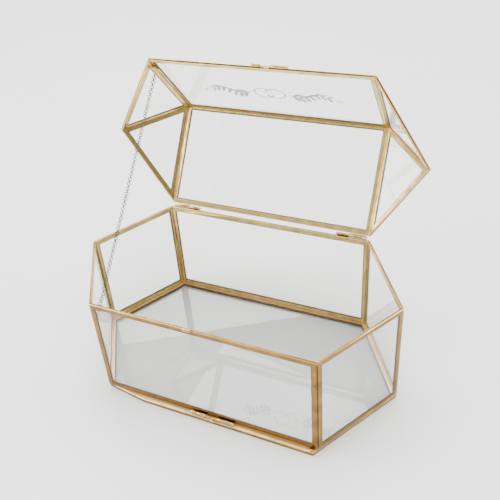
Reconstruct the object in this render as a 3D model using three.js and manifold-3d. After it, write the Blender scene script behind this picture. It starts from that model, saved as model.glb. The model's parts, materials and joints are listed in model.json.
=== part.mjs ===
// A glass card box for a wedding table: an elongated hexagonal base and a hipped roof of a lid.
// Every pane is edged by its own folded brass channel, and the channels are soldered side by side.
// The lid is drawn open, as far as its chain lets it go. Millimetres, +Z up, +X along the front.
// The box stands on z = 0, and the origin is under the middle of the whole open box.
import * as THREE from "three";
import { mergeVertices } from "three/addons/utils/BufferGeometryUtils.js";
import Module from "manifold-3d";

const wasm = await Module();
wasm.setup();

// ---- Driving dimensions ----

// The box
const FRONT = 203; // length of the straight front and back edges
const DEPTH = 159; // from the front wall to the back wall
const TIP = 46.5; // how far each pointed end stands out past the front edge
const RIM_Z = 105.8; // top edge of the base
const ROOF_RISE = 62.6; // height of the ridge over the lid's lower edge
const OPEN_DEGREES = 88; // where the chain stops the lid

// The brass channel around a pane, and the pane in it
const CHANNEL_THICK = 2.5;
const CHANNEL_FACE = 4.4; // how far it reaches over the pane
const CHANNEL_CHAMFER = 0.5;
const SLOT = 1.9; // width of the slot that takes the pane
const SLOT_DEPTH = 1.8;
const GLASS = 1.3;
const GLASS_BITE = 1.5; // how far the pane goes into the slot
const GAP = 0.3; // between pieces that touch or are soldered together
const RIM_GAP = 0.4; // between pieces that close on each other

// The floor is a door of its own, in a deeper channel that stands out under the front wall
const DOOR_THICK = 4.2;
const DOOR_INSET = 0.6; // how far the door stops short of each pointed end
const DOOR_LEDGE = 4.4; // how far its front edge stands out
const DOOR_CLIP = { from: 38.5, to: 1.6 }; // its left front corner is cut: along the edge, and back

// Hinges and latches, all cut from one size of tube and two sizes of wire
const TUBE_R = 1.4;
const BORE_R = 0.9;
const PIN_R = 0.6;
const PIN_HEAD_R = 1.15;
const PIN_HEAD = 0.7;
const BOLT_R = 0.6;
const BOLT_EYE_R = 1.9; // middle radius of the finger eye on a bolt
const NEST = { out: 1.15, up: 0.76 }; // the lid latch's axis, off the outer edge of the rim
const DOOR_LATCH_OUT = 2.3; // the door latch's axis, off the front wall

// The chain that stops the lid, in the left front corner
const CHAIN_R = 0.7; // of the plain rods that stand for its links
const CHAIN_ASIDE = 0.85; // the base's rods and the lid's pass each other this far off its plane
const CHAIN_EYE_R = 1.7;
const CHAIN_EYE_WIRE = 0.5;
const CHAIN_TUBE = 9; // length of the tube that holds each eye
const PIVOT_GAP = 1.3; // between a rod's end and the pivot that it turns about
const OPEN_PIVOT_GAP = 2.1; // the same where two rods only face each other
const SLACK_FLOOR_Z = 6.4; // the slack chain's lowest link when the lid is shut
const SLACK_TURN_Z = 17.4; // where its lid strand turns inwards then

const ARC_SEGMENTS = 16;
const WIRE_SIDES = 16;

// ---- Places worked out from them ----

const HALF = FRONT / 2;
const BACK_Y = DEPTH / 2;
const OPEN_ANGLE = THREE.MathUtils.degToRad(OPEN_DEGREES);
const WALL_Z = DOOR_THICK + RIM_GAP;
const ROOF_SLOPE = Math.atan2(ROOF_RISE, BACK_Y);
const TUBE_OUT = TUBE_R + GAP; // a tube's axis stands this far off the face that it is soldered to

// The lid's channels are cut square, so on the roof slope they reach below their outer edge.
const LID_Z =
  RIM_Z + RIM_GAP + CHANNEL_THICK * Math.cos(ROOF_SLOPE) - CHANNEL_CHAMFER * Math.sin(ROOF_SLOPE);
const HINGE = new THREE.Vector3(0, BACK_Y + TUBE_OUT, RIM_Z + 0.2);
const DOOR_HINGE = new THREE.Vector3(0, HINGE.y, DOOR_THICK / 2);

// ---- Materials ----

const brass = (roughness) =>
  new THREE.MeshStandardMaterial({
    color: 0xc99c57,
    metalness: 1,
    roughness,
    flatShading: true,
  });
const CHANNEL_BRASS = brass(0.35);
const TUBE_BRASS = brass(0.25);
const WIRE_BRASS = brass(0.2);
const CLEAR_GLASS = new THREE.MeshStandardMaterial({
  color: 0xe6ebe6,
  metalness: 0,
  roughness: 0.03,
  transparent: true,
  opacity: 0.3,
  flatShading: true,
});

// ---- Scene graph ----

const box = new THREE.Group();
const base = new THREE.Group();
const floorDoor = new THREE.Group();
const lid = new THREE.Group(); // holds the lid as it lies when shut
const lidHinge = new THREE.Group();
lidHinge.position.copy(HINGE);
lidHinge.rotation.x = -OPEN_ANGLE;
lid.position.copy(HINGE).negate();
lidHinge.add(lid);
box.add(base, floorDoor, lidHinge);

function place(parent, name, geometry, material, position = new THREE.Vector3()) {
  const mesh = new THREE.Mesh(geometry, material);
  mesh.name = name;
  mesh.position.copy(position);
  parent.add(mesh);
  return mesh;
}

// ---- Booleans ----

function solidOf(geometry) {
  const bare = geometry.clone();
  bare.deleteAttribute("normal");
  bare.deleteAttribute("uv");
  const merged = mergeVertices(bare);
  return new wasm.Manifold(
    new wasm.Mesh({
      numProp: 3,
      vertProperties: merged.getAttribute("position").array,
      triVerts: new Uint32Array(merged.index.array),
    }),
  );
}

function unite(...geometries) {
  const joined = geometries.map(solidOf).reduce((all, next) => all.add(next));
  const { vertProperties, triVerts } = joined.getMesh();
  return new THREE.BufferGeometry()
    .setAttribute("position", new THREE.BufferAttribute(vertProperties, 3))
    .setIndex(new THREE.BufferAttribute(triVerts, 1));
}

// ---- Panels: a pane of glass and the channel around it ----

// Corners run anticlockwise seen from outside. joins[i] is the outward normal of the panel that is
// soldered along the side from corner i to the next, or null where that side is free. wider[i] is
// how much more than the usual width the channel has along that side.
function makePanel(corners, joins = [], wider = []) {
  const along = (i) => corners[(i + 1) % corners.length].clone().sub(corners[i]).normalize();
  const normal = along(0).cross(along(1)).normalize();
  const sides = corners.map((_, i) => ({
    inward: normal.clone().cross(along(i)),
    halfTurn: joins[i] ? normal.angleTo(joins[i]) / 2 : null,
    wider: wider[i] ?? 0,
  }));
  return { corners, normal, sides };
}

// How far in from a side's outer edge a line of the outside or of the inside of its channel lies.
function insetOf({ halfTurn, wider }, depth, inset, outside) {
  if (!outside) return inset + wider;
  if (halfTurn === null) return inset;
  return inset + depth * Math.tan(halfTurn) + GAP / 2 / Math.cos(halfTurn);
}

// The panel's outline at a depth below its outer face, moved in by inset from every side. On the
// outside of the channel it also leans in where the panel meets its neighbours.
function outlineOf(panel, depth, inset, outside) {
  const count = panel.corners.length;
  const moved = panel.sides.map((side) => insetOf(side, depth, inset, outside));
  return panel.corners.map((corner, i) => {
    const before = (i + count - 1) % count;
    const [m, n] = [panel.sides[before].inward, panel.sides[i].inward];
    const [s, t] = [moved[before], moved[i]];
    const k = m.dot(n);
    return corner
      .clone()
      .addScaledVector(m, (s - k * t) / (1 - k * k))
      .addScaledVector(n, (t - k * s) / (1 - k * k))
      .addScaledVector(panel.normal, -depth);
  });
}

// Faces between each loop of points and the next; the loops go round the section of a frame.
function bandIndex(loopCount, pointCount, closed) {
  const index = [];
  for (let j = 0; j < (closed ? loopCount : loopCount - 1); j++) {
    const [near, far] = [j * pointCount, ((j + 1) % loopCount) * pointCount];
    for (let i = 0; i < pointCount; i++) {
      const next = (i + 1) % pointCount;
      index.push(near + i, far + i, far + next, near + i, far + next, near + next);
    }
  }
  return index;
}

function loopGeometry(loops, index) {
  const positions = loops.flat().flatMap((point) => point.toArray());
  return new THREE.BufferGeometry()
    .setAttribute("position", new THREE.Float32BufferAttribute(positions, 3))
    .setIndex(index);
}

function channelGeometry(panel, thick) {
  const leg = (thick - SLOT) / 2;
  const outside = (depth, inset) => outlineOf(panel, depth, inset, true);
  const inside = (depth, inset) => outlineOf(panel, depth, inset, false);
  const loops = [
    outside(0, CHANNEL_CHAMFER),
    outside(CHANNEL_CHAMFER, 0),
    outside(thick - CHANNEL_CHAMFER, 0),
    outside(thick, CHANNEL_CHAMFER),
    inside(thick, CHANNEL_FACE),
    inside(thick - leg, CHANNEL_FACE),
    inside(thick - leg, CHANNEL_FACE - SLOT_DEPTH),
    inside(leg, CHANNEL_FACE - SLOT_DEPTH),
    inside(leg, CHANNEL_FACE),
    inside(0, CHANNEL_FACE),
  ];
  return loopGeometry(loops, bandIndex(loops.length, panel.corners.length, true));
}

function paneGeometry(panel, thick) {
  const inset = CHANNEL_FACE - GLASS_BITE;
  const loops = [(thick - GLASS) / 2, (thick + GLASS) / 2].map((depth) =>
    outlineOf(panel, depth, inset, false),
  );
  const count = panel.corners.length;
  const index = bandIndex(2, count, false);
  for (let i = 1; i < count - 1; i++)
    index.push(0, i, i + 1, count, count + i + 1, count + i);
  return loopGeometry(loops, index);
}

function placePanel(parent, name, panel, thick = CHANNEL_THICK) {
  const [piece, side] = name;
  place(parent, `${piece}_channel${side}`, channelGeometry(panel, thick), CHANNEL_BRASS);
  place(parent, `${piece}_glass${side}`, paneGeometry(panel, thick), CLEAR_GLASS);
}

// ---- Outline of the box seen from above ----

const SIDES = ["front", "right_front", "right_back", "back", "left_back", "left_front"];

// Anticlockwise from the left end of the front edge.
function planCorners(half, z) {
  return [
    [-half, -BACK_Y],
    [half, -BACK_Y],
    [half + TIP, 0],
    [half, BACK_Y],
    [-half, BACK_Y],
    [-half - TIP, 0],
  ].map(([x, y]) => new THREE.Vector3(x, y, z));
}

// ---- Base: six walls ----

function makeWalls() {
  const low = planCorners(HALF, WALL_Z);
  const high = planCorners(HALF, RIM_Z);
  const corners = SIDES.map((_, i) => {
    const next = (i + 1) % SIDES.length;
    return [low[i], low[next], high[next], high[i]];
  });
  const normals = corners.map((quad) => makePanel(quad).normal);
  SIDES.forEach((side, i) => {
    const [after, before] = [normals[(i + 1) % 6], normals[(i + 5) % 6]];
    placePanel(base, ["wall", `_${side}`], makePanel(corners[i], [null, after, null, before]));
  });
}

// ---- Lid: two long roof panes and four hips ----

function makeRoof() {
  const rim = planCorners(HALF, LID_Z);
  const [ridgeLeft, ridgeRight] = [-HALF, HALF].map(
    (x) => new THREE.Vector3(x, 0, LID_Z + ROOF_RISE),
  );
  const corners = [
    [rim[0], rim[1], ridgeRight, ridgeLeft],
    [rim[1], rim[2], ridgeRight],
    [rim[2], rim[3], ridgeRight],
    [rim[3], rim[4], ridgeLeft, ridgeRight],
    [rim[4], rim[5], ridgeLeft],
    [rim[5], rim[0], ridgeLeft],
  ];
  const normals = corners.map((points) => makePanel(points).normal);
  SIDES.forEach((side, i) => {
    const [after, before] = [normals[(i + 1) % 6], normals[(i + 5) % 6]];
    const ridge = corners[i].length === 4 ? [normals[(i + 3) % 6]] : [];
    const panel = makePanel(corners[i], [null, after, ...ridge, before]);
    placePanel(lid, ["lid", `_${side}`], panel);
  });
}

// ---- Floor: a door that opens downwards ----

function makeFloorDoor() {
  const [frontLeft, frontRight, ...others] = planCorners(HALF - DOOR_INSET, 0);
  const lean = TIP / BACK_Y; // of the slanting walls, per millimetre of depth
  const cutBack = frontLeft.clone();
  cutBack.x -= DOOR_CLIP.to * lean;
  cutBack.y += DOOR_CLIP.to;
  frontLeft.x += DOOR_CLIP.from;
  frontLeft.y -= DOOR_LEDGE;
  frontRight.x -= DOOR_LEDGE * lean;
  frontRight.y -= DOOR_LEDGE;
  const outline = [cutBack, frontLeft, frontRight, ...others].reverse();
  const wider = outline.map((corner) => (corner === frontRight ? DOOR_LEDGE - 0.4 : 0));
  placePanel(floorDoor, ["floor_door", ""], makePanel(outline, [], wider), DOOR_THICK);
}

// ---- Tubes, pins and bolts ----

const ALONG_X = new THREE.Matrix4().makeBasis(
  new THREE.Vector3(0, 1, 0),
  new THREE.Vector3(0, 0, 1),
  new THREE.Vector3(1, 0, 0),
);

// A short tube along +X. The pad of solder under it points padAngle round from +Y towards +Z.
function tubeGeometry(length, pad, padAngle = 0) {
  const outline = new THREE.Shape();
  if (pad) {
    const edge = Math.asin(pad.half / TUBE_R);
    outline.moveTo(pad.reach, -pad.half);
    outline.lineTo(pad.reach, pad.half);
    outline.absarc(0, 0, TUBE_R, edge, 2 * Math.PI - edge, false);
  } else {
    outline.absarc(0, 0, TUBE_R, 0, 2 * Math.PI, false);
  }
  outline.holes.push(new THREE.Path().absarc(0, 0, BORE_R, 0, 2 * Math.PI, true));
  const geometry = new THREE.ExtrudeGeometry(outline, {
    depth: length,
    bevelEnabled: false,
    curveSegments: ARC_SEGMENTS,
  });
  return geometry.rotateZ(padAngle).applyMatrix4(ALONG_X);
}

// Pads towards the face that carries the tube. The angles are those of a tube at the back.
const toLidEdge = new THREE.Vector2(BACK_Y - HINGE.y, LID_Z - HINGE.z);
const intoLidEdge = new THREE.Vector2(-Math.cos(ROOF_SLOPE), Math.sin(ROOF_SLOPE));
const PADS = {
  upright: { angle: Math.PI, reach: TUBE_R, half: 0.9 },
  lidEdge: { angle: intoLidEdge.angle(), reach: toLidEdge.dot(intoLidEdge) - GAP, half: 0.9 },
  lidEdgeNear: { angle: intoLidEdge.angle(), reach: TUBE_R, half: 0.9 },
  rimChamfer: { angle: (5 / 4) * Math.PI, reach: TUBE_R, half: 0.6 },
  wallFace: { angle: Math.PI, reach: DOOR_LATCH_OUT - GAP, half: 0.9 },
  wallFoot: { angle: THREE.MathUtils.degToRad(114), reach: 3.05, half: 0.6 },
  ledge: { angle: -Math.PI / 2, reach: TUBE_R, half: 0.9 },
};

// A tube from x = from to x = to on the axis through centre; the same pads serve front and back.
function placeTube(parent, name, from, to, centre, pad) {
  const angle = centre.y > 0 ? pad.angle : Math.PI - pad.angle;
  const geometry = tubeGeometry(Math.abs(to - from), pad, angle);
  place(parent, name, geometry, TUBE_BRASS, centre.clone().setX(Math.min(from, to)));
}

function pinGeometry(length) {
  const profile = [
    [0, -PIN_HEAD],
    [PIN_HEAD_R, -PIN_HEAD],
    [PIN_HEAD_R, 0],
    [PIN_R, 0],
    [PIN_R, length],
    [PIN_HEAD_R, length],
    [PIN_HEAD_R, length + PIN_HEAD],
    [0, length + PIN_HEAD],
  ].map(([radius, height]) => new THREE.Vector2(radius, height));
  return new THREE.LatheGeometry(profile, WIRE_SIDES).rotateZ(-Math.PI / 2);
}

// Two knuckles and a pin at each end of the back edge. The moving one lies outside the fixed one.
const KNUCKLES = { start: HALF - 4, moving: 15.5, fixed: 11 };

function makeHinges(names, mover, centre, moverPad, fixedPad) {
  const inner = KNUCKLES.start - KNUCKLES.moving;
  const end = inner - GAP - KNUCKLES.fixed;
  for (const [side, sign] of [["left", -1], ["right", 1]]) {
    const x = (at) => sign * at;
    placeTube(mover, `${names.moving}_${side}`, x(KNUCKLES.start), x(inner), centre, moverPad);
    placeTube(base, `${names.fixed}_${side}`, x(inner - GAP), x(end), centre, fixedPad);
    const pinStart = Math.min(x(KNUCKLES.start + GAP), x(end - GAP));
    const pin = pinGeometry(KNUCKLES.start - end + 2 * GAP);
    place(base, `${names.pin}_${side}`, pin, WIRE_BRASS, centre.clone().setX(pinStart));
  }
}

// A latch is two tubes on the moving part, a wire bolt with a finger eye that slides in them, and
// a catch tube on the base, which the bolt's left end enters.
const LID_LATCH = {
  centre: new THREE.Vector3(0, -BACK_Y - NEST.out, RIM_Z + NEST.up),
  catch: [-9.5, -2.5],
  guide: [-2, 5.4],
  keeper: [15.2, 30],
  eye: 12.4,
  eyeHangs: true,
  end: 24,
  travel: 4,
};
const DOOR_LATCH = {
  centre: new THREE.Vector3(0, -BACK_Y - DOOR_LATCH_OUT, DOOR_THICK + TUBE_OUT),
  catch: [-14, -8.5],
  guide: [-8, 0.6],
  keeper: [11.5, 27],
  eye: 8.7,
  eyeHangs: false,
  end: 21,
  travel: 4.5,
};
const BOLT_TIP_IN = 0.5; // how far a drawn bolt's tip lies inside its guide

function boltGeometry(latch) {
  const tip = latch.guide[0] + BOLT_TIP_IN;
  const wire = new THREE.CylinderGeometry(BOLT_R, BOLT_R, latch.end - tip, WIRE_SIDES)
    .rotateZ(Math.PI / 2)
    .translate((latch.end + tip) / 2, 0, 0);
  const eye = new THREE.TorusGeometry(BOLT_EYE_R, BOLT_R, WIRE_SIDES, 2 * ARC_SEGMENTS)
    .translate(latch.eye, -BOLT_EYE_R, 0)
    .rotateX(latch.eyeHangs ? Math.PI / 2 : 0);
  return unite(wire, eye);
}

function makeLatch(names, mover, latch, moverPad, catchPad) {
  const { centre } = latch;
  placeTube(mover, `${names.mover}_guide`, ...latch.guide, centre, moverPad);
  placeTube(mover, `${names.mover}_keeper`, ...latch.keeper, centre, moverPad);
  placeTube(base, names.catch, ...latch.catch, centre, catchPad);
  place(mover, names.bolt, boltGeometry(latch), WIRE_BRASS, centre);
}

// ---- Chain ----

// Each end hangs from an eye on a short tube that is soldered into a corner, along the corner.
const CORNER_IN = CHANNEL_THICK + TUBE_OUT;
const CHAIN_X = -HALF + CORNER_IN * Math.tan(Math.atan2(BACK_Y, TIP) / 2);
const EYE_OUT = TUBE_R + CHAIN_EYE_R - 0.1; // from the tube's axis to the eye's middle
const EYE_DOWN = 2.5; // from the tube's far end to the eye's middle
const BASE_TUBE_Z = RIM_Z - 20.5;
const LID_TUBE_FROM = 8.5; // along the hip, from the corner

function anchorGeometry() {
  const tube = tubeGeometry(CHAIN_TUBE).rotateY(-Math.PI / 2);
  const eye = new THREE.TorusGeometry(CHAIN_EYE_R, CHAIN_EYE_WIRE, WIRE_SIDES, 2 * ARC_SEGMENTS)
    .rotateY(Math.PI / 2)
    .translate(0, EYE_OUT, CHAIN_TUBE - EYE_DOWN);
  return unite(tube, eye);
}

const X_AXIS = new THREE.Vector3(1, 0, 0);
const LEAN = ROOF_SLOPE - Math.PI / 2; // turns the base's upright corner into the lid's

// A point in the chain's plane: how far in from the lid's corner line, and how far up along it.
function onLidCorner(inwards, up) {
  return new THREE.Vector3(CHAIN_X, inwards, up)
    .applyAxisAngle(X_AXIS, LEAN)
    .add(new THREE.Vector3(0, -BACK_Y, LID_Z));
}

const angleTo = (from, to) => Math.atan2(to.z - from.z, to.y - from.y);

// Where the chain's pivots lie when the lid is open, and how far each rod turns as it shuts.
function chainLayout() {
  const eyeUp = CHAIN_TUBE - EYE_DOWN;
  const baseEye = new THREE.Vector3(
    CHAIN_X,
    -BACK_Y + CORNER_IN + EYE_OUT,
    BASE_TUBE_Z + eyeUp,
  );
  const lidEyeShut = onLidCorner(CORNER_IN + EYE_OUT, LID_TUBE_FROM + eyeUp);
  const lidEye = lidEyeShut.clone().sub(HINGE).applyAxisAngle(X_AXIS, -OPEN_ANGLE).add(HINGE);
  const whole = baseEye.distanceTo(lidEye);
  const taut = angleTo(baseEye, lidEye);
  // Shut, both strands hang straight down and their ends meet at one point on the floor.
  const baseStrand = baseEye.z - SLACK_FLOOR_Z;
  const lidStrand = lidEyeShut.z - SLACK_TURN_Z;
  const [apart, rise] = [lidEyeShut.y - baseEye.y, SLACK_TURN_Z - SLACK_FLOOR_Z];
  const left = whole - baseStrand - lidStrand - apart;
  const reach = (left * left - rise * rise) / (2 * left);
  const baseEnd = apart + reach;
  const lidEnd = Math.hypot(reach, rise);
  const turns = {
    chain_base_strand: -Math.PI / 2 - taut,
    chain_base_end: -taut,
    chain_lid_strand: Math.PI / 2 - taut,
    chain_lid_end: Math.PI - Math.atan2(rise, reach) - taut,
  };
  return { baseEye, lidEye, taut, baseStrand, baseEnd, lidStrand, lidEnd, turns };
}

function placeRod(name, pivot, aside, angle, length, startGap, endGap) {
  const rod = new THREE.CylinderGeometry(CHAIN_R, CHAIN_R, length - startGap - endGap, WIRE_SIDES);
  rod.translate(aside, (length + startGap - endGap) / 2, 0);
  place(box, name, rod, WIRE_BRASS, pivot).rotation.x = angle;
}

function makeChain(chain) {
  const { baseEye, lidEye, taut } = chain;
  const baseTube = new THREE.Vector3(CHAIN_X, -BACK_Y + CORNER_IN, BASE_TUBE_Z);
  const lidTube = onLidCorner(CORNER_IN, LID_TUBE_FROM);
  place(base, "chain_anchor_base", anchorGeometry(), TUBE_BRASS, baseTube);
  place(lid, "chain_anchor_lid", anchorGeometry(), TUBE_BRASS, lidTube).rotation.x = LEAN;

  const eyeGap = CHAIN_EYE_R + CHAIN_EYE_WIRE + GAP;
  const pull = new THREE.Vector3(0, Math.cos(taut), Math.sin(taut));
  const baseTurn = baseEye.clone().addScaledVector(pull, chain.baseStrand);
  const lidTurn = lidEye.clone().addScaledVector(pull, -chain.lidStrand);
  const back = taut + Math.PI;
  const [left, right] = [-CHAIN_ASIDE, CHAIN_ASIDE];
  placeRod("chain_base_strand", baseEye, left, taut, chain.baseStrand, eyeGap, PIVOT_GAP);
  placeRod("chain_base_end", baseTurn, left, taut, chain.baseEnd, PIVOT_GAP, OPEN_PIVOT_GAP);
  placeRod("chain_lid_strand", lidEye, right, back, chain.lidStrand, eyeGap, PIVOT_GAP);
  placeRod("chain_lid_end", lidTurn, right, back, chain.lidEnd, PIVOT_GAP, OPEN_PIVOT_GAP);
  return { baseTurn, lidTurn };
}

// ---- Assembly ----

makeWalls();
makeRoof();
makeFloorDoor();
makeHinges(
  { moving: "lid_knuckle", fixed: "base_knuckle", pin: "lid_hinge_pin" },
  lid,
  HINGE,
  PADS.lidEdge,
  PADS.upright,
);
makeHinges(
  { moving: "door_knuckle", fixed: "foot_knuckle", pin: "door_hinge_pin" },
  floorDoor,
  DOOR_HINGE,
  PADS.upright,
  PADS.wallFoot,
);
makeLatch(
  { mover: "lid_latch", catch: "lid_latch_catch", bolt: "lid_latch_bolt" },
  lid,
  LID_LATCH,
  PADS.lidEdgeNear,
  PADS.rimChamfer,
);
makeLatch(
  { mover: "door_latch", catch: "door_latch_catch", bolt: "door_latch_bolt" },
  floorDoor,
  DOOR_LATCH,
  PADS.ledge,
  PADS.wallFace,
);
const chain = chainLayout();
const { baseTurn, lidTurn } = makeChain(chain);

// The origin lies under the middle of the open box, front to back.
box.updateMatrixWorld(true);
const middle = new THREE.Box3().setFromObject(box, true).getCenter(new THREE.Vector3());
box.position.y = -middle.y;

// ---- Joints: axes in the box's frame, and limits from the pose that is drawn ----

const inBox = (point) => point.clone().setY(point.y - middle.y).toArray();
const perDegree = (turn) => turn / OPEN_ANGLE;
const { turns } = chain;
box.userData.joints = {
  lid_hinge: { pivot: inBox(HINGE), axis: [1, 0, 0], degrees: [0, OPEN_DEGREES] },
  floor_door_hinge: { pivot: inBox(DOOR_HINGE), axis: [1, 0, 0], degrees: [0, 90] },
  lid_bolt_slide: { axis: [-1, 0, 0], millimetres: [0, LID_LATCH.travel] },
  door_bolt_slide: { axis: [-1, 0, 0], millimetres: [0, DOOR_LATCH.travel] },
  chain_base_pivot: { pivot: inBox(chain.baseEye), ratio: perDegree(turns.chain_base_strand) },
  chain_base_fold: {
    pivot: inBox(baseTurn),
    ratio: perDegree(turns.chain_base_end - turns.chain_base_strand),
  },
  chain_lid_pivot: { pivot: inBox(chain.lidEye), ratio: perDegree(turns.chain_lid_strand) - 1 },
  chain_lid_fold: {
    pivot: inBox(lidTurn),
    ratio: perDegree(turns.chain_lid_end - turns.chain_lid_strand),
  },
};

export default box;
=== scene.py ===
"""The looks of a glass card box: brass channels, solder, panes, chain and an etched ornament.

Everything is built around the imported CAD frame, in metres, and rides on its bodies.
"""
import json
import math

import bmesh
import bpy
from mathutils import Matrix, Vector, noise


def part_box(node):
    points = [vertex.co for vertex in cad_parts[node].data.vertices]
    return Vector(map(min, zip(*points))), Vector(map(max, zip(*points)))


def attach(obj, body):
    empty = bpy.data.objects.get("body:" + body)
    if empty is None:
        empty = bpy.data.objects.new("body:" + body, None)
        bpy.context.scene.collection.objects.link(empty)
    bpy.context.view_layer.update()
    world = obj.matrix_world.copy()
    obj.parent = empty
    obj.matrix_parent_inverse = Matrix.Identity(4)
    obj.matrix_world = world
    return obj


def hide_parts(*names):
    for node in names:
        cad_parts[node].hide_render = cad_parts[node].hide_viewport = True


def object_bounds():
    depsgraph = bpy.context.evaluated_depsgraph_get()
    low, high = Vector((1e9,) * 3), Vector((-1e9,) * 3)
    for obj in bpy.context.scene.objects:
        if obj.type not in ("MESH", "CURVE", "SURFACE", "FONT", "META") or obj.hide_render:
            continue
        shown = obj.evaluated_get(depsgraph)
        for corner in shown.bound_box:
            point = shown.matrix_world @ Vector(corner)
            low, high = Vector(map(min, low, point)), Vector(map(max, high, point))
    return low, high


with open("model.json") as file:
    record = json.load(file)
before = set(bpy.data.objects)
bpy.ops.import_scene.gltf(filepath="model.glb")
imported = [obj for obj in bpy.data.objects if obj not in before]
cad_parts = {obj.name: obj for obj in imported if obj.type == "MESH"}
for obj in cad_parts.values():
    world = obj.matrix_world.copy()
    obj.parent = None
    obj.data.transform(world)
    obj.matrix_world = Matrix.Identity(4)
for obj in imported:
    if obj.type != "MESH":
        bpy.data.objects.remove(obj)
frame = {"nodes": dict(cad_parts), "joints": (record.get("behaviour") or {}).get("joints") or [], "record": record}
cad_low, cad_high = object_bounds()

MM = 0.001
SIDES = ["front", "right_front", "right_back", "back", "left_back", "left_front"]
NODES = frame["nodes"]
BODY_OF = {
    node: body
    for body, members in frame["record"]["behaviour"]["bodies"].items()
    for node in members
}
PIVOT = {
    joint["name"]: Vector(joint["pos_m"])
    for joint in frame["joints"]
    if "pos_m" in joint
}

# Camera: a turn round the middle of the walls' lower edge, in units of half the front's length
CAMERA_UNIT = 101.5 * MM
CAMERA_AZIMUTH = math.radians(30.301)
CAMERA_ELEVATION = math.radians(34.196)
CAMERA_ROLL = math.radians(-7.826)
CAMERA_DISTANCE = 6.508
CAMERA_ASIDE = (-0.302, 1.364)
CAMERA_FOCAL = 682.87 / 500  # focal length over the picture's width
CAMERA_SHIFT = (0.120, -0.070)
SENSOR_WIDTH = 36

# Rolled edges
CHANNEL_EDGE = 0.3 * MM
FITTING_EDGE = 0.12 * MM

# Solder
SEAM_R = 0.5 * MM
SEAM_IN = 1.05 * MM
SEAM_SHORT = 1.6 * MM  # how far a seam's bead stops before its corners
FILLET_R = 0.8 * MM
FILLET_SHORT = 3.2 * MM
FILLET_OUT = 0.3 * MM
LID_SHORT = 1.0 * MM  # how much further the lid's beads stop before theirs
BEAD_STEP = 1.6 * MM
BLOB_R = 1.5 * MM
BLOB_IN = 2.1 * MM
BLOB_CLEAR = 0.5 * MM  # from the part that shuts on it
DOOR_BLOB_R = 2.5 * MM
RIM_CLEAR = 0.3 * MM  # from the lid's panes out to the plane that its seams end on

# Channels, and the dark fillets of painted shade along their lips
CHANNEL_THICK = 2.5 * MM
GLASS_BITE = 1.5 * MM  # how far a pane goes into its channel
SHADE_FILLET_WIDE = 0.95 * MM
SHADE_FILLET_HIGH = 0.5 * MM
SHADE_FILLET_UNDER = 0.1 * MM  # how far it reaches in under the channel
SHADE_FILLET_SUNK = 0.02 * MM

# Chain
LINK_R = 1.48 * MM
LINK_WIRE_R = 0.34 * MM
LINK_TURNS = (math.radians(25), math.radians(115))  # of every other link about the chain
EYE_R = 1.7 * MM
EYE_WIRE_R = 0.5 * MM
LINK_SWAY = 0.12  # radians

# Ornament, in millimetres unless MM is written
FILM_THICK = 0.06 * MM
FILM_LIFT = 0.02 * MM
RING_R = 9
RING_WIDE = 1.5
RING_ASIDE = 5.4
SPRIG_START = 18.5
SPRIG_LONG = 42
SPRIG_WAVE = 4.5
SPRIG_STEPS = 40
LEAF_LONG = 12

# Stage
FLOOR_SIZE = 6
FLOOR_GAP = 0.05 * MM
LIGHT_AIM = (0, 0, 0.1)
DARK_SIDE = Vector((0.95, -0.1, 0.25))
WORLD_STRENGTH = 1.1

# How squarely a channel's polygon faces outwards, as a cosine
SQUARE_ON = 0.95
ROLLED = 0.6
EDGE_ON = 0.1

# Dark brown of the painted shade that ambient occlusion mixes into the brass in its crevices
CREVICE_SHADE_COLOUR = (0.16, 0.075, 0.02)


# ---- Node helpers ----


def new_material(name):
    material = bpy.data.materials.new(name)
    material.use_nodes = True
    material.node_tree.nodes.clear()
    return material


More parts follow.
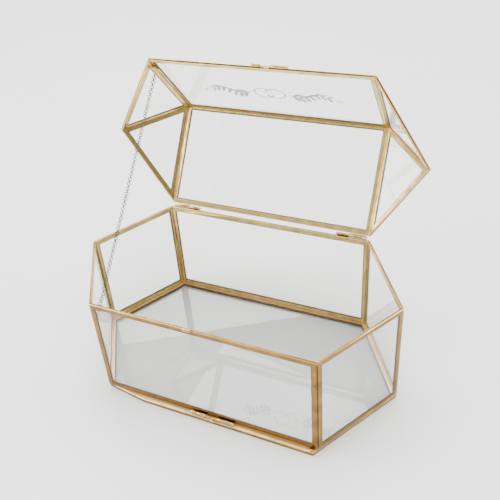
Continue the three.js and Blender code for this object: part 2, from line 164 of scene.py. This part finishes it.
class Shader:
    """Short calls for building one material's node tree."""

    def __init__(self, name):
        self.material = new_material(name)
        self.tree = self.material.node_tree
        self.output = self.node("ShaderNodeOutputMaterial")
        self.bsdf = self.node("ShaderNodeBsdfPrincipled")
        self.tree.links.new(self.bsdf.outputs["BSDF"], self.output.inputs["Surface"])
        self.place = self.node("ShaderNodeTexCoord").outputs["Object"]

    def node(self, kind, **values):
        made = self.tree.nodes.new(kind)
        for key, value in values.items():
            setattr(made, key, value)
        return made

    def link(self, source, node, socket):
        self.tree.links.new(source, node.inputs[socket])

    def set(self, **values):
        for key, value in values.items():
            self.bsdf.inputs[key.replace("_", " ")].default_value = value

    def noise(self, scale, detail=3, stretch=(1, 1, 1)):
        mapping = self.node("ShaderNodeMapping")
        mapping.inputs["Scale"].default_value = stretch
        self.link(self.place, mapping, "Vector")
        made = self.node("ShaderNodeTexNoise")
        made.inputs["Scale"].default_value = scale
        made.inputs["Detail"].default_value = detail
        self.link(mapping.outputs["Vector"], made, "Vector")
        return made.outputs["Fac"]

    def ramp(self, source, stops):
        made = self.node("ShaderNodeValToRGB")
        elements = made.color_ramp.elements
        while len(elements) < len(stops):
            elements.new(0.5)
        for element, (position, colour) in zip(elements, stops):
            element.position = position
            element.color = (*colour, 1) if len(colour) == 3 else colour
        self.link(source, made, "Fac")
        return made.outputs["Color"]

    def spread(self, source, low, high, start=0.3, end=0.7):
        made = self.node("ShaderNodeMapRange")
        made.inputs["From Min"].default_value = start
        made.inputs["From Max"].default_value = end
        made.inputs["To Min"].default_value = low
        made.inputs["To Max"].default_value = high
        self.link(source, made, "Value")
        return made.outputs["Result"]

    def mix(self, factor, a, b, blend="MIX"):
        made = self.node("ShaderNodeMix", data_type="RGBA", blend_type=blend)
        for socket, value in ((0, factor), (6, a), (7, b)):
            if isinstance(value, (int, float)):
                made.inputs[socket].default_value = value
            elif isinstance(value, tuple):
                made.inputs[socket].default_value = (*value, 1)
            else:
                self.tree.links.new(value, made.inputs[socket])
        return made.outputs[2]

    def bump(self, heights, strength, distance):
        """Adds up (source, weight) pairs into one bump."""
        total = None
        for source, weight in heights:
            scaled = self.node("ShaderNodeMath", operation="MULTIPLY")
            self.link(source, scaled, 0)
            scaled.inputs[1].default_value = weight
            if total is None:
                total = scaled.outputs[0]
                continue
            added = self.node("ShaderNodeMath", operation="ADD")
            self.link(total, added, 0)
            self.link(scaled.outputs[0], added, 1)
            total = added.outputs[0]
        made = self.node("ShaderNodeBump")
        made.inputs["Strength"].default_value = strength
        made.inputs["Distance"].default_value = distance
        self.link(total, made, "Height")
        self.link(made.outputs["Normal"], self.bsdf, "Normal")

    def crevice(self, distance):
        made = self.node("ShaderNodeAmbientOcclusion", samples=8)
        made.inputs["Distance"].default_value = distance
        return made.outputs["AO"]


# ---- Materials ----


def brass(name, light, dark, roughness, crevice_shade, waviness):
    """Plated brass: mottled between two golds, darkened with painted shade in its crevices and finely scratched.
    """
    shader = Shader(name)
    patches = shader.noise(90, 4)
    flecks = shader.noise(1400, 2)
    scratches = shader.noise(900, 2, (0.15, 1, 1))
    colour = shader.mix(shader.spread(patches, 0, 1, 0.35, 0.68), light, dark)
    colour = shader.mix(shader.spread(flecks, 0, 0.2, 0.5, 0.75), colour, dark)
    # Painted shade: ambient occlusion darkens the brass in its crevices, by the given strength
    occlusion_shade = shader.ramp(shader.crevice(1.3 * MM), [(0.25, (1, 1, 1)), (0.75, (0, 0, 0))])
    strength = shader.node("ShaderNodeMath", operation="MULTIPLY")
    shader.link(occlusion_shade, strength, 0)
    strength.inputs[1].default_value = crevice_shade
    colour = shader.mix(strength.outputs[0], colour, CREVICE_SHADE_COLOUR)
    shader.link(colour, shader.bsdf, "Base Color")
    shader.link(
        shader.spread(patches, roughness - 0.05, roughness + 0.12), shader.bsdf, "Roughness"
    )
    shader.bump([(shader.noise(160, 2), waviness), (flecks, 0.03), (scratches, 0.02)], 0.22, 0.0003)
    shader.set(Metallic=1.0)
    return shader.material


# Channel, inner, ledge, edge, lip and seam brass are one brass in lit and shaded copies: inner, ledge and edge
# carry painted highlights, lip and seam carry painted shade.
CHANNEL_BRASS = brass("channel_brass", (0.28, 0.155, 0.038), (0.17, 0.09, 0.022), 0.19, 0.5, 0.06)
INNER_LIT_BRASS = brass("inner_lit_brass", (0.76, 0.57, 0.21), (0.56, 0.38, 0.12), 0.15, 0.5, 0.06)
LEDGE_HIGHLIGHT_BRASS = brass("ledge_highlight_brass", (0.88, 0.68, 0.36), (0.76, 0.56, 0.26), 0.4, 0.3, 0.06)
EDGE_HIGHLIGHT_BRASS = brass("edge_highlight_brass", (0.84, 0.67, 0.32), (0.70, 0.52, 0.21), 0.1, 0.3, 0.04)
LIP_SHADE_BRASS = brass("lip_shade_brass", (0.13, 0.07, 0.025), (0.075, 0.04, 0.015), 0.35, 0.6, 0.3)
TUBE_BRASS = brass("tube_brass", (0.66, 0.49, 0.17), (0.46, 0.31, 0.09), 0.12, 0.8, 0.1)
WIRE_BRASS = brass("wire_brass", (0.72, 0.50, 0.19), (0.52, 0.33, 0.11), 0.12, 0.6, 0.05)
SOLDER_BRASS = brass("solder_brass", (0.46, 0.30, 0.09), (0.28, 0.17, 0.05), 0.2, 0.6, 0.8)
# Seam brass is solder darkened with painted shade, for the grooves between channels
SEAM_SHADE_BRASS = brass("seam_shade_brass", (0.15, 0.08, 0.03), (0.08, 0.042, 0.016), 0.42, 0.9, 1.0)
CHAIN_BRASS = brass("chain_brass", (0.13, 0.098, 0.06), (0.06, 0.045, 0.028), 0.28, 0.9, 0.1)


def clear_glass():
    """Float glass: faintly grey-green, a little wavy, with a dry trace of wiping."""
    shader = Shader("clear_glass")
    wipes = shader.noise(22, 4, (1, 0.35, 0.35))
    shader.set(Transmission_Weight=1.0, IOR=1.46)
    shader.link(
        shader.mix(shader.spread(wipes, 0, 1), (0.972, 0.982, 0.972), (0.955, 0.966, 0.958)),
        shader.bsdf,
        "Base Color",
    )
    shader.link(shader.spread(wipes, 0.0, 0.025, 0.45, 0.75), shader.bsdf, "Roughness")
    shader.bump([(shader.noise(14, 1), 1.0)], 0.05, 0.0005)
    return shader.material


def etched_grey():
    """A thin matt film, slightly uneven, for the ornament on the lid."""
    shader = Shader("ornament_film")
    speckle = shader.noise(1800, 3)
    shader.link(
        shader.mix(shader.spread(speckle, 0, 1), (0.20, 0.20, 0.21), (0.33, 0.33, 0.34)),
        shader.bsdf,
        "Base Color",
    )
    shader.link(shader.spread(speckle, 0.45, 0.65), shader.bsdf, "Roughness")
    shader.bump([(speckle, 1.0)], 0.2, 0.00005)
    return shader.material


def dark_shade_fillet():
    """Brown-black painted shade on the glass along the channel's lip, where the gap at the lip lies in shadow."""
    shader = Shader("dark_shade_fillet")
    grain = shader.noise(1500, 4)
    runs = shader.noise(140, 3)
    colour = shader.mix(shader.spread(runs, 0, 1), (0.085, 0.048, 0.018), (0.15, 0.085, 0.032))
    colour = shader.mix(shader.spread(grain, 0, 0.5), colour, (0.05, 0.028, 0.012))
    shader.link(colour, shader.bsdf, "Base Color")
    shader.link(shader.spread(grain, 0.4, 0.6), shader.bsdf, "Roughness")
    shader.bump([(grain, 1.0), (runs, 0.5)], 0.3, 0.0002)
    return shader.material


def table_top():
    """The plain pale surface that the box stands on."""
    shader = Shader("table_top")
    cloud = shader.noise(3, 3)
    shader.link(
        shader.mix(shader.spread(cloud, 0, 1), (0.93, 0.93, 0.925), (0.90, 0.90, 0.895)),
        shader.bsdf,
        "Base Color",
    )
    shader.link(shader.spread(cloud, 0.5, 0.6), shader.bsdf, "Roughness")
    shader.bump([(shader.noise(700, 3), 1.0)], 0.04, 0.0003)
    return shader.material


GLASS = clear_glass()
FILM = etched_grey()
TABLE = table_top()
SHADE_FILLET = dark_shade_fillet()


# ---- Mesh helpers ----


def new_object(name, bm, material, smooth=True):
    mesh = bpy.data.meshes.new(name)
    bmesh.ops.recalc_face_normals(bm, faces=bm.faces)
    bm.to_mesh(mesh)
    bm.free()
    mesh.materials.append(material)
    for polygon in mesh.polygons:
        polygon.use_smooth = smooth
    made = bpy.data.objects.new(name, mesh)
    bpy.context.scene.collection.objects.link(made)
    return made


def dress(made, body, slot, *replaced):
    """Rides an object on a body, in place of any CAD nodes named. Its slot is not used."""
    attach(made, body)
    if replaced:
        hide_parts(*replaced)
    return made


def welded(node):
    """A node's mesh with its corners joined again and its flat faces whole."""
    bm = bmesh.new()
    bm.from_mesh(NODES[node].data)
    bmesh.ops.remove_doubles(bm, verts=bm.verts, dist=1e-6)
    bmesh.ops.dissolve_limit(
        bm, angle_limit=math.radians(0.5), verts=bm.verts, edges=bm.edges
    )
    return bm


def rounded(node, material, slot, width, segments=3, angle=25):
    """A copy of a metal node with every sharp edge rolled over."""
    made = new_object(f"{node}_rounded", welded(node), material)
    bevel = made.modifiers.new("rolled_edges", "BEVEL")
    bevel.width = width
    bevel.segments = segments
    bevel.limit_method = "ANGLE"
    bevel.angle_limit = math.radians(angle)
    bevel.harden_normals = True
    return dress(made, BODY_OF[node], slot, node)


def circle(radius, sides):
    """The points of a round section in its own plane."""
    turns = [2 * math.pi * k / sides for k in range(sides)]
    return [Vector((radius * math.cos(turn), radius * math.sin(turn), 0)) for turn in turns]


def tube_points(bm, path, radius_at, sides):
    """Sweeps a closed round section along a path of points, with rounded-off ends."""
    rings = []
    for i, point in enumerate(path):
        ahead = path[min(i + 1, len(path) - 1)] - path[max(i - 1, 0)]
        turn = ahead.to_track_quat("Z", "Y")
        section = circle(radius_at(i), sides)
        rings.append([bm.verts.new(point + turn @ corner) for corner in section])
    for near, far in zip(rings, rings[1:]):
        for k in range(sides):
            n = (k + 1) % sides
            bm.faces.new((near[k], near[n], far[n], far[k]))
    bm.faces.new(rings[0][::-1])
    bm.faces.new(rings[-1])


def ring_points(bm, centre, across, along, radius, wire, around=20, sides=8):
    """A round wire ring in the plane of two unit vectors."""
    normal = across.cross(along).normalized()
    rings = []
    for i in range(around):
        turn = 2 * math.pi * i / around
        out = across * math.cos(turn) + along * math.sin(turn)
        rings.append(
            [
                bm.verts.new(
                    centre
                    + out * (radius + wire * math.cos(2 * math.pi * k / sides))
                    + normal * (wire * math.sin(2 * math.pi * k / sides))
                )
                for k in range(sides)
            ]
        )
    for i, near in enumerate(rings):
        far = rings[(i + 1) % around]
        for k in range(sides):
            n = (k + 1) % sides
            bm.faces.new((near[k], far[k], far[n], near[n]))


# ---- Planes of the panes, and the lines and corners where they meet ----


def outer_plane(piece, side):
    """(outward unit normal, offset) of the face that a channel shows outwards."""
    glass = NODES[f"{piece}_glass_{side}"].data
    largest = max(glass.polygons, key=lambda polygon: polygon.area)
    normal = largest.normal.copy()
    middle = sum((v.co for v in glass.vertices), Vector()) / len(glass.vertices)
    if normal.dot(middle - CENTRE[piece]) < 0:
        normal.negate()
    channel = NODES[f"{piece}_channel_{side}"].data
    return normal, max(normal.dot(v.co) for v in channel.vertices)


def node_middle(*names):
    corners = [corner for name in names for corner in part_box(name)]
    low = Vector(min(c[i] for c in corners) for i in range(3))
    high = Vector(max(c[i] for c in corners) for i in range(3))
    return (low + high) / 2


CENTRE = {
    piece: node_middle(*(f"{piece}_channel_{side}" for side in SIDES))
    for piece in ("wall", "lid")
}
PLANES = {
    piece: {side: outer_plane(piece, side) for side in SIDES} for piece in ("wall", "lid")
}


def meet(*planes):
    """The point on three planes."""
    rows = Matrix([plane[0] for plane in planes])
    return rows.inverted() @ Vector([plane[1] for plane in planes])


def lid_rim_plane():
    """The plane of the lid's lower edge, which faces the front while the lid is open."""
    points = [v.co for side in SIDES for v in NODES[f"lid_glass_{side}"].data.vertices]
    hinge_to_middle = CENTRE["lid"] - PIVOT["lid_hinge"]
    front = PLANES["lid"]["front"][0]
    back = PLANES["lid"]["back"][0]
    normal = -(front + back).normalized()
    reach = max(normal.dot(point) for point in points)
    return normal, reach + RIM_CLEAR


RIM = lid_rim_plane()
TOP = (Vector((0, 0, 1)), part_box("wall_channel_front")[1].z)
FOOT = (Vector((0, 0, -1)), -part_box("wall_channel_front")[0].z)


def neighbours(piece, planes_end):
    """(end, end, normal, normal) of every seam around a ring of six panels."""
    for i, side in enumerate(SIDES):
        other = SIDES[(i + 1) % len(SIDES)]
        a, b = PLANES[piece][side], PLANES[piece][other]
        start, end = planes_end(side, other, a, b)
        yield start, end, a[0], b[0]


def wall_seams():
    return list(
        neighbours("wall", lambda side, other, a, b: (meet(a, b, FOOT), meet(a, b, TOP)))
    )


def lid_seams():
    front, back = PLANES["lid"]["front"], PLANES["lid"]["back"]
    ridge = {
        end: meet(front, back, PLANES["lid"][f"{end}_front"]) for end in ("left", "right")
    }

    def ends(side, other, a, b):
        end = "right" if "right" in side + other else "left"
        return meet(a, b, RIM), ridge[end]

    seams = list(neighbours("lid", ends))
    return seams + [(ridge["left"], ridge["right"], front[0], back[0])]


# ---- Metal ----


def shade_by_facing(channel, normal, inner):
    """Paints light and shade into the parts of a channel, whose outer face has this normal, by which way each part
    faces: bright copies of the brass as painted highlights on the inner faces and rolled edges, dark copies as
    painted shade on the sideways faces and on the lips that meet the glass.
    """
    mesh = channel.data
    for material in (EDGE_HIGHLIGHT_BRASS, LIP_SHADE_BRASS, inner, SEAM_SHADE_BRASS):
        mesh.materials.append(material)
    edge, lip, inside, seam = range(1, 5)
    middle = sum((v.co for v in mesh.vertices), Vector()) / len(mesh.vertices)
    for polygon in mesh.polygons:
        tilt = polygon.normal.dot(normal)
        to_middle = (middle - polygon.center).normalized()
        if tilt < -SQUARE_ON:
            polygon.material_index = inside
        elif ROLLED < tilt < SQUARE_ON or tilt < -ROLLED:
            polygon.material_index = edge
        elif EDGE_ON < tilt < SQUARE_ON:
            polygon.material_index = seam
        elif abs(tilt) <= EDGE_ON and polygon.normal.dot(to_middle) > EDGE_ON:
            polygon.material_index = lip


def make_channel(node, normal, inner=INNER_LIT_BRASS):
    shade_by_facing(rounded(node, CHANNEL_BRASS, "channel_brass", CHANNEL_EDGE), normal, inner)


def make_channels():
    for piece in ("wall", "lid"):
        for side in SIDES:
            make_channel(f"{piece}_channel_{side}", PLANES[piece][side][0])
    make_channel("floor_door_channel", Vector((0, 0, -1)), LEDGE_HIGHLIGHT_BRASS)


def make_fittings():
    ends = ("left", "right")
    tubes = [f"{kind}_knuckle_{end}" for kind in ("base", "lid", "foot", "door") for end in ends]
    parts = ("catch", "guide", "keeper")
    tubes += [f"{kind}_latch_{part}" for kind in ("lid", "door") for part in parts]
    tubes += ["chain_anchor_base", "chain_anchor_lid"]
    for node in tubes:
        rounded(node, TUBE_BRASS, "tube_brass", FITTING_EDGE, 2, 35)
    wires = [f"{kind}_hinge_pin_{end}" for kind in ("lid", "door") for end in ends]
    wires += ["lid_latch_bolt", "door_latch_bolt"]
    for node in wires:
        rounded(node, WIRE_BRASS, "wire_brass", FITTING_EDGE, 2, 40)


# ---- Solder ----


def bead(bm, start, end, radius, inset):
    """A hand-run bead of solder, a little uneven, stopping short of both ends."""
    along = (end - start).normalized()
    first, last = start + along * inset, end - along * inset
    count = max(8, int((last - first).length / BEAD_STEP))
    path = [first.lerp(last, i / count) for i in range(count + 1)]

    def radius_at(i):
        taper = min(1, 0.35 + 0.4 * min(i, count - i))
        return radius * taper * (1 + 0.16 * noise.noise(path[i] * 260))

    tube_points(bm, path, radius_at, 10)


def lump(bm, centre, radius, squash, direction):
    """A flattened drop of solder whose skin isn't quite even."""
    turn = direction.to_track_quat("Z", "Y")
    made = bmesh.ops.create_icosphere(bm, subdivisions=3, radius=1)
    for vert in made["verts"]:
        wobble = 1 + 0.12 * noise.noise(vert.co * 1.7 + centre * 900)
        local = Vector((vert.co.x, vert.co.y, vert.co.z * squash)) * radius * wobble
        vert.co = centre + turn @ local


def solder(piece, body, seams, short):
    outer, inner = bmesh.new(), bmesh.new()
    for start, end, normal_a, normal_b in seams:
        outwards = (normal_a + normal_b).normalized()
        half_turn = normal_a.angle(normal_b) / 2
        down = -outwards
        bead(outer, start + down * SEAM_IN, end + down * SEAM_IN, SEAM_R, SEAM_SHORT + short)
        depth = CHANNEL_THICK / math.cos(half_turn) - FILLET_OUT
        bead(inner, start + down * depth, end + down * depth, FILLET_R, FILLET_SHORT + short)
    # The outer beads lie in the grooves between channels and carry their painted shade
    dress(new_object(f"{piece}_seam_solder", outer, SEAM_SHADE_BRASS), body, "channel_brass")
    dress(new_object(f"{piece}_fillet_solder", inner, SOLDER_BRASS), body, "channel_brass")


def corner_drops(piece, body, corners):
    """One drop of solder over each corner where channels meet, clear of the part that shuts on it."""
    bm = bmesh.new()
    for corner, outwards, shutting in corners:
        centre = corner - outwards * BLOB_IN - shutting * BLOB_CLEAR
        lump(bm, centre, BLOB_R, 0.95, outwards)
    dress(new_object(f"{piece}_corner_solder", bm, SOLDER_BRASS), body, "channel_brass")


def front_corner_lump():
    """The large drop that fills the floor door's right front corner, under the wall's corner."""
    low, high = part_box("floor_door_channel")
    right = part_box("wall_channel_front")[1].x
    corner = Vector((right - 4.6 * MM, low.y + 2.6 * MM, high.z + 0.1 * MM))
    bm = bmesh.new()
    lump(bm, corner, DOOR_BLOB_R, 0.5, Vector((0, 0, 1)))
    dress(new_object("door_corner_solder", bm, SOLDER_BRASS), "floor_door", "channel_brass")


def make_solder():
    walls, lid = wall_seams(), lid_seams()
    front_corner_lump()
    solder("wall", "base", walls, 0)
    solder("lid", "lid", lid, LID_SHORT)
    drops = []
    for foot, top, a, b in walls:
        drops.append((top, (a + b + TOP[0]).normalized(), TOP[0]))
        drops.append((foot, (a + b + FOOT[0]).normalized(), FOOT[0]))
    corner_drops("wall", "base", drops)
    drops = [(start, (a + b + RIM[0]).normalized(), RIM[0]) for start, _, a, b in lid[:-1]]
    for ridge_end, side in ((lid[-1][0], -1), (lid[-1][1], 1)):
        outwards = (lid[-1][2] + lid[-1][3] + Vector((side, 0, 0))).normalized()
        drops.append((ridge_end, outwards, Vector()))
    corner_drops("lid", "lid", drops)


# ---- Painted shade along the channels' lips ----


def inset_loop(loop, inwards, distance):
    """A flat polygon's corners after every side has moved in by a distance."""
    moved = []
    for i, corner in enumerate(loop):
        before, after = inwards[i - 1], inwards[i]
        shared = before.dot(after)
        moved.append(corner + (before + after) * distance / (1 + shared))
    return moved


def shade_fillet_ring(bm, face):
    """A dark fillet of painted shade from the channel's lip down onto the glass, all round one face of a pane."""
    loop = [vert.co.copy() for vert in face.verts]
    normal = face.normal.copy()
    inwards = [
        normal.cross((loop[(i + 1) % len(loop)] - loop[i]).normalized()) for i in range(len(loop))
    ]
    outer = inset_loop(loop, inwards, GLASS_BITE - SHADE_FILLET_UNDER)
    inner = inset_loop(loop, inwards, GLASS_BITE + SHADE_FILLET_WIDE)
    sunk = normal * SHADE_FILLET_SUNK
    rings = [
        [bm.verts.new(point - sunk) for point in outer],
        [bm.verts.new(point + normal * SHADE_FILLET_HIGH) for point in outer],
        [bm.verts.new(point - sunk) for point in inner],
    ]
    for near, far in zip(rings, rings[1:] + rings[:1]):
        for i in range(len(loop)):
            n = (i + 1) % len(loop)
            bm.faces.new((near[i], near[n], far[n], far[i]))


def make_shade_fillet():
    for body in ("base", "lid", "floor_door"):
        bm = bmesh.new()
        for node in NODES:
            if "_glass" not in node or BODY_OF[node] != body:
                continue
            pane = welded(node)
            pane.faces.ensure_lookup_table()
            for face in sorted(pane.faces, key=lambda each: each.calc_area())[-2:]:
                shade_fillet_ring(bm, face)
            pane.free()
        # One object of painted lip shade for each body
        dress(new_object(f"{body}_shade_fillet", bm, SHADE_FILLET, smooth=False), body, "channel_brass")


# ---- Chain ----


def chain_points():
    """The straight line of the open chain: its two eyes, its two folds and where its ends meet."""
    start, end = PIVOT["chain_base_pivot"], PIVOT["chain_lid_pivot"]
    along = (end - start).normalized()

    def reach(node, top):
        low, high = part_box(node)
        return ((high if top else low) - start).z / along.z

    meeting = (reach("chain_base_end", True) + reach("chain_lid_end", False)) / 2
    folds = [(PIVOT[f"chain_{name}_fold"] - start).length for name in ("base", "lid")]
    return start, end, along, [folds[0], meeting, folds[1]]


def make_chain():
    start, end, along, breaks = chain_points()
    across = Vector((1, 0, 0))
    beside = along.cross(across)
    eye_edge = EYE_R - EYE_WIRE_R - LINK_WIRE_R
    first = eye_edge + LINK_R
    span = (end - start).length - 2 * first
    count = round(span / (2 * (LINK_R - LINK_WIRE_R)))
    strands = ["chain_base_strand", "chain_base_end", "chain_lid_end", "chain_lid_strand"]
    meshes = {name: bmesh.new() for name in strands}
    for i in range(count + 1):
        at = first + span * i / count
        name = strands[sum(at > stop for stop in breaks)]
        turn = LINK_TURNS[i % 2] + LINK_SWAY * noise.noise(Vector((i, 0.5, 0)))
        sideways = across * math.cos(turn) + beside * math.sin(turn)
        ring_points(meshes[name], start + along * at, sideways, along, LINK_R, LINK_WIRE_R)
    for name, bm in meshes.items():
        dress(new_object(f"{name}_links", bm, CHAIN_BRASS), BODY_OF[name], "wire_brass", name)


# ---- Ornament on the lid's front pane ----


def pane_frame(node, centre):
    """(middle, right, up, outward normal) on the outer face of a pane of the lid."""
    mesh = NODES[node].data
    normal = max(mesh.polygons, key=lambda polygon: polygon.area).normal.copy()
    middle = sum((v.co for v in mesh.vertices), Vector()) / len(mesh.vertices)
    if normal.dot(middle - centre) < 0:
        normal.negate()
    surface = max(normal.dot(v.co) for v in mesh.vertices)
    middle += normal * (surface - normal.dot(middle))
    right = Vector((1, 0, 0))
    return middle, right, normal.cross(right), normal


class Film:
    """Flat shapes of thin film on one pane, drawn in millimetres from its middle."""

    def __init__(self, node, centre):
        self.middle, self.right, self.up, self.normal = pane_frame(node, centre)
        self.bm = bmesh.new()

    def point(self, x, y, height):
        return (
            self.middle + self.right * x * MM + self.up * y * MM + self.normal * height
        )

    def strip(self, left, right):
        """A closed slab between two edges of the same number of points."""
        loops = [
            [self.bm.verts.new(self.point(x, y, height)) for x, y in edge]
            for edge in (left, right)
            for height in (FILM_LIFT, FILM_LIFT + FILM_THICK)
        ]
        low_left, high_left, low_right, high_right = loops
        order = (low_left, high_left, high_right, low_right)
        for i in range(len(left) - 1):
            for near, far in zip(order, order[1:] + order[:1]):
                self.bm.faces.new((near[i], near[i + 1], far[i + 1], far[i]))
        self.bm.faces.new([loop[0] for loop in order])
        self.bm.faces.new([loop[-1] for loop in reversed(order)])

    def ribbon(self, path, width_at):
        left, right = [], []
        for i, (x, y) in enumerate(path):
            ahead, behind = path[min(i + 1, len(path) - 1)], path[max(i - 1, 0)]
            dx, dy = ahead[0] - behind[0], ahead[1] - behind[1]
            size = math.hypot(dx, dy)
            half = width_at(i / (len(path) - 1)) / 2
            left.append((x - dy / size * half, y + dx / size * half))
            right.append((x + dy / size * half, y - dx / size * half))
        self.strip(left, right)

    def ring(self, x, y, radius, width, start=0.0, end=2 * math.pi, count=48):
        path = [
            (
                x + radius * math.cos(start + (end - start) * i / count),
                y + radius * math.sin(start + (end - start) * i / count),
            )
            for i in range(count + 1)
        ]
        self.ribbon(path, lambda t: width)

    def leaf(self, x, y, angle, length, width):
        count = 14
        path = []
        for i in range(count + 1):
            t = i / count
            bend = angle + 0.35 * t * math.copysign(1, math.cos(angle))
            path.append(
                (x + length * t * math.cos(bend), y + length * t * math.sin(bend))
            )
        self.ribbon(path, lambda t: 0.12 + width * math.sin(math.pi * t**0.8))


def make_ornament():
    """Two linked rings between two leafy sprigs."""
    film = Film("lid_glass_front", CENTRE["lid"])
    gap = 0.5
    film.ring(-RING_ASIDE, 0, RING_R, RING_WIDE, gap - 0.1, 2 * math.pi - 0.35)
    film.ring(RING_ASIDE, 0, RING_R, RING_WIDE, math.pi + 0.28, 3 * math.pi - gap + 0.15)
    for side in (-1, 1):
        stem = []
        for i in range(SPRIG_STEPS + 1):
            t = i / SPRIG_STEPS
            rise = SPRIG_WAVE * math.sin(2.4 * math.pi * t) * (1 - 0.3 * t)
            stem.append((side * (SPRIG_START + SPRIG_LONG * t), rise))
        film.ribbon(stem, lambda t: 1.3 - 0.7 * t)
        for k in range(3, 38, 5):
            x, y = stem[k]
            size = LEAF_LONG * (1 - 0.4 * k / SPRIG_STEPS)
            for lift in (-1, 1):
                angle = math.atan2(lift * 1.1, side * 1.0)
                film.leaf(x, y, angle, size, size * 0.34)
        film.leaf(*stem[-1], math.atan2(0.1, side), 7, 2)
    made = new_object("lid_ornament", film.bm, FILM, smooth=False)
    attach(made, "lid")


# ---- Glass ----


def make_glass():
    for name, node in NODES.items():
        if "_glass" in name:
            node.data.materials.clear()
            node.data.materials.append(GLASS)


# ---- Stage ----


def make_floor():
    bm = bmesh.new()
    bmesh.ops.create_grid(bm, x_segments=2, y_segments=2, size=FLOOR_SIZE)
    floor = new_object("floor", bm, TABLE, smooth=False)
    floor.location.z = cad_low.z - FLOOR_GAP


def area_light(name, place, target, size, power, colour=(1, 1, 1)):
    data = bpy.data.lights.new(name, "AREA")
    data.shape = "RECTANGLE"
    data.size, data.size_y = size
    data.energy = power
    data.color = colour
    light = bpy.data.objects.new(name, data)
    light.location = place
    light.rotation_euler = (Vector(target) - Vector(place)).to_track_quat("-Z", "Y").to_euler()
    bpy.context.scene.collection.objects.link(light)
    return light


def make_lights():
    area_light("window_left", (-1.7, -0.7, 1.0), LIGHT_AIM, (1.6, 1.6), 60, (1, 0.995, 0.985))
    area_light("window_back", (-1.5, 2.4, 1.9), LIGHT_AIM, (1.8, 1.2), 50, (1, 0.99, 0.97))
    area_light("window_front", (1.1, -2.2, 1.7), LIGHT_AIM, (1.2, 1.0), 40)
    area_light("overhead", (0.1, 0.6, 2.0), (0, 0, 0), (2.2, 1.6), 70)
    area_light("fill_right", (1.9, 0.5, 0.9), LIGHT_AIM, (1.0, 1.4), 22, (1, 0.99, 0.97))


def make_world():
    """A pale room that is darker towards the right."""
    world = bpy.data.worlds.new("studio")
    bpy.context.scene.world = world
    world.use_nodes = True
    tree = world.node_tree
    background = tree.nodes["Background"]
    place = tree.nodes.new("ShaderNodeTexCoord")
    dot = tree.nodes.new("ShaderNodeVectorMath")
    dot.operation = "DOT_PRODUCT"
    dot.inputs[1].default_value = DARK_SIDE.normalized()
    tree.links.new(place.outputs["Generated"], dot.inputs[0])
    ramp = tree.nodes.new("ShaderNodeValToRGB")
    ramp.color_ramp.elements[0].position = 0.35
    ramp.color_ramp.elements[0].color = (1, 1, 0.99, 1)
    ramp.color_ramp.elements[1].position = 0.92
    ramp.color_ramp.elements[1].color = (0.42, 0.40, 0.38, 1)
    tree.links.new(dot.outputs["Value"], ramp.inputs["Fac"])
    tree.links.new(ramp.outputs["Color"], background.inputs["Color"])
    background.inputs["Strength"].default_value = WORLD_STRENGTH


def make_camera():
    middle = Vector((0, CENTRE["wall"].y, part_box("wall_channel_front")[0].z))
    az, el, roll = CAMERA_AZIMUTH, CAMERA_ELEVATION, CAMERA_ROLL
    back = Vector((math.sin(az) * math.cos(el), -math.cos(az) * math.cos(el), math.sin(el)))
    right = Vector((math.cos(az), math.sin(az), 0))
    up = back.cross(right)
    place = back * CAMERA_DISTANCE + right * CAMERA_ASIDE[0] + up * CAMERA_ASIDE[1]
    tilted_right = right * math.cos(roll) + up * math.sin(roll)
    tilted_up = up * math.cos(roll) - right * math.sin(roll)
    data = bpy.data.cameras.new("camera")
    data.sensor_width = SENSOR_WIDTH
    data.lens = CAMERA_FOCAL * SENSOR_WIDTH
    data.shift_x, data.shift_y = CAMERA_SHIFT
    data.clip_start = 0.01
    camera = bpy.data.objects.new("camera", data)
    turn = Matrix((tilted_right, tilted_up, back)).transposed().to_4x4()
    camera.matrix_world = Matrix.Translation(middle + place * CAMERA_UNIT) @ turn
    bpy.context.scene.collection.objects.link(camera)
    bpy.context.scene.camera = camera


# ---- The whole scene ----

make_camera()
make_floor()
make_lights()
make_world()
make_channels()
make_fittings()
make_solder()
make_shade_fillet()
make_chain()
make_ornament()
make_glass()
